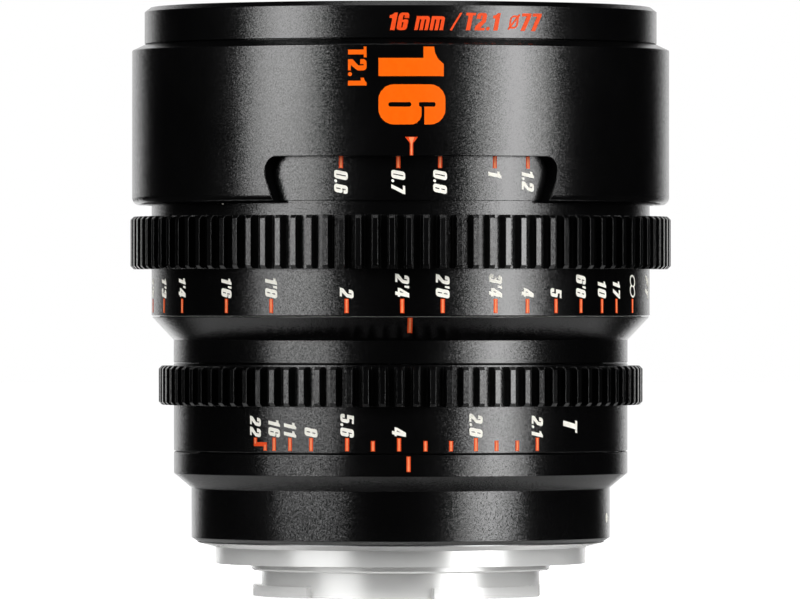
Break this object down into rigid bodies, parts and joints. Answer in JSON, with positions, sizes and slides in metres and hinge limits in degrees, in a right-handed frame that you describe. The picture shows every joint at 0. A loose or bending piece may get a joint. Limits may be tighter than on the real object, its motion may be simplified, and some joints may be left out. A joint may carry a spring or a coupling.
{
  "type": "prime lens",
  "caption": "Wide-angle cine prime lens with geared focus and aperture rings, a windowed front shell, a bladed iris and a bayonet mount.",
  "frame": {"origin": "centre of the rear end face of the bayonet, on the optical axis", "axes": "+Z along the optical axis towards the front, -Y towards the side that carries the scales' index marks"},
  "size_m": [0.0844, 0.0844, 0.0917],
  "materials": {
    "black_anodised": "satin black anodised, fine grain",
    "black_matt": "matt black anodised",
    "mount_metal": "machined, satin plated",
    "steel": "plain",
    "bronze": "turned",
    "white_plastic": "plain",
    "blade_steel": "blackened spring steel",
    "glass": "polished, coated"
  },
  "bodies": {
    "root": {"bayonet_mount": "mount_metal", "mount_screws": "steel", "mount_shim": "steel", "rear_baffle": "black_matt", "rear_barrel": "black_anodised", "barrel_screws": "steel", "guide_barrel": "black_matt", "focus_index_ring": "black_anodised", "focus_stop_pin": "steel", "aperture_stop_pin": "steel", "rear_thrust_washer": "white_plastic", "front_thrust_washer": "white_plastic", "front_shell": "black_anodised", "shell_screws": "steel", "front_ring": "black_anodised", "front_baffle": "black_matt"},
    "focus_ring": {"focus_ring": "black_anodised", "helicoid_sleeve": "bronze", "sleeve_lock_ring": "black_matt"},
    "lens_unit": {"focus_nut": "bronze", "focus_keys": "steel", "lens_carrier": "black_matt", "front_cell": "black_matt", "front_retaining_ring": "black_matt", "front_group_barrel": "black_matt", "front_spacer": "black_matt", "middle_retaining_ring": "black_matt", "iris_plate": "black_matt", "rear_group_barrel": "black_matt", "rear_group_screws": "steel", "rear_spacer": "black_matt", "field_spacer": "black_matt", "rear_retaining_ring": "black_matt", "lens_element_1": "glass", "lens_element_2": "glass", "lens_element_3": "glass", "lens_element_4": "glass", "lens_element_5": "glass", "lens_element_6": "glass", "lens_element_7": "glass", "lens_element_8": "glass", "lens_element_9": "glass"},
    "aperture_ring": {"aperture_ring": "black_anodised", "aperture_drive_pin": "steel"},
    "iris_cam": {"iris_cam_ring": "black_matt"},
    "iris_blade_1": {"iris_blade_1": "blade_steel"},
    "iris_blade_2": {"iris_blade_2": "blade_steel"},
    "iris_blade_3": {"iris_blade_3": "blade_steel"},
    "iris_blade_4": {"iris_blade_4": "blade_steel"},
    "iris_blade_5": {"iris_blade_5": "blade_steel"},
    "iris_blade_6": {"iris_blade_6": "blade_steel"},
    "iris_blade_7": {"iris_blade_7": "blade_steel"},
    "iris_blade_8": {"iris_blade_8": "blade_steel"},
    "iris_blade_9": {"iris_blade_9": "blade_steel"}
  },
  "joints": [
    {"name": "focus", "type": "hinge", "parent": "root", "child": "focus_ring", "pos_m": [0, 0, 0.0515], "axis": [0, 0, 1], "range_deg": [-67.4, 232.6]},
    {"name": "focus_extension", "type": "slide", "parent": "root", "child": "lens_unit", "axis": [0, 0, 1], "range_m": [-0.00032, 0.00109]},
    {"name": "aperture", "type": "hinge", "parent": "root", "child": "aperture_ring", "pos_m": [0, 0, 0.0294], "axis": [0, 0, 1], "range_deg": [-34.3, 37.8]},
    {"name": "iris_cam_turn", "type": "hinge", "parent": "lens_unit", "child": "iris_cam", "pos_m": [0, 0, 0.0293], "axis": [0, 0, 1], "range_deg": [-34.35, 37.85]},
    {"name": "iris_blade_1_swing", "type": "hinge", "parent": "lens_unit", "child": "iris_blade_1", "pos_m": [0.0175, 0, 0.02667], "axis": [0, 0, 1], "range_deg": [-15.2, 16.75]},
    {"name": "iris_blade_2_swing", "type": "hinge", "parent": "lens_unit", "child": "iris_blade_2", "pos_m": [0.01341, 0.01125, 0.02689], "axis": [0, 0, 1], "range_deg": [-15.2, 16.75]},
    {"name": "iris_blade_3_swing", "type": "hinge", "parent": "lens_unit", "child": "iris_blade_3", "pos_m": [0.00304, 0.01723, 0.02711], "axis": [0, 0, 1], "range_deg": [-15.2, 16.75]},
    {"name": "iris_blade_4_swing", "type": "hinge", "parent": "lens_unit", "child": "iris_blade_4", "pos_m": [-0.00875, 0.01516, 0.02733], "axis": [0, 0, 1], "range_deg": [-15.2, 16.75]},
    {"name": "iris_blade_5_swing", "type": "hinge", "parent": "lens_unit", "child": "iris_blade_5", "pos_m": [-0.01644, 0.00599, 0.02755], "axis": [0, 0, 1], "range_deg": [-15.2, 16.75]},
    {"name": "iris_blade_6_swing", "type": "hinge", "parent": "lens_unit", "child": "iris_blade_6", "pos_m": [-0.01644, -0.00599, 0.02777], "axis": [0, 0, 1], "range_deg": [-15.2, 16.75]},
    {"name": "iris_blade_7_swing", "type": "hinge", "parent": "lens_unit", "child": "iris_blade_7", "pos_m": [-0.00875, -0.01516, 0.02799], "axis": [0, 0, 1], "range_deg": [-15.2, 16.75]},
    {"name": "iris_blade_8_swing", "type": "hinge", "parent": "lens_unit", "child": "iris_blade_8", "pos_m": [0.00304, -0.01723, 0.02821], "axis": [0, 0, 1], "range_deg": [-15.2, 16.75]},
    {"name": "iris_blade_9_swing", "type": "hinge", "parent": "lens_unit", "child": "iris_blade_9", "pos_m": [0.01341, -0.01125, 0.02843], "axis": [0, 0, 1], "range_deg": [-15.2, 16.75]}
  ],
  "couplings": [
    {"joint": "focus_extension", "follows": "focus", "m_per_rad": 0.00026738},
    {"joint": "iris_cam_turn", "follows": "aperture", "ratio": 1},
    {"joint": "iris_blade_1_swing", "follows": "aperture", "ratio": 0.44112},
    {"joint": "iris_blade_2_swing", "follows": "aperture", "ratio": 0.44112},
    {"joint": "iris_blade_3_swing", "follows": "aperture", "ratio": 0.44112},
    {"joint": "iris_blade_4_swing", "follows": "aperture", "ratio": 0.44112},
    {"joint": "iris_blade_5_swing", "follows": "aperture", "ratio": 0.44112},
    {"joint": "iris_blade_6_swing", "follows": "aperture", "ratio": 0.44112},
    {"joint": "iris_blade_7_swing", "follows": "aperture", "ratio": 0.44112},
    {"joint": "iris_blade_8_swing", "follows": "aperture", "ratio": 0.44112},
    {"joint": "iris_blade_9_swing", "follows": "aperture", "ratio": 0.44112}
  ]
}
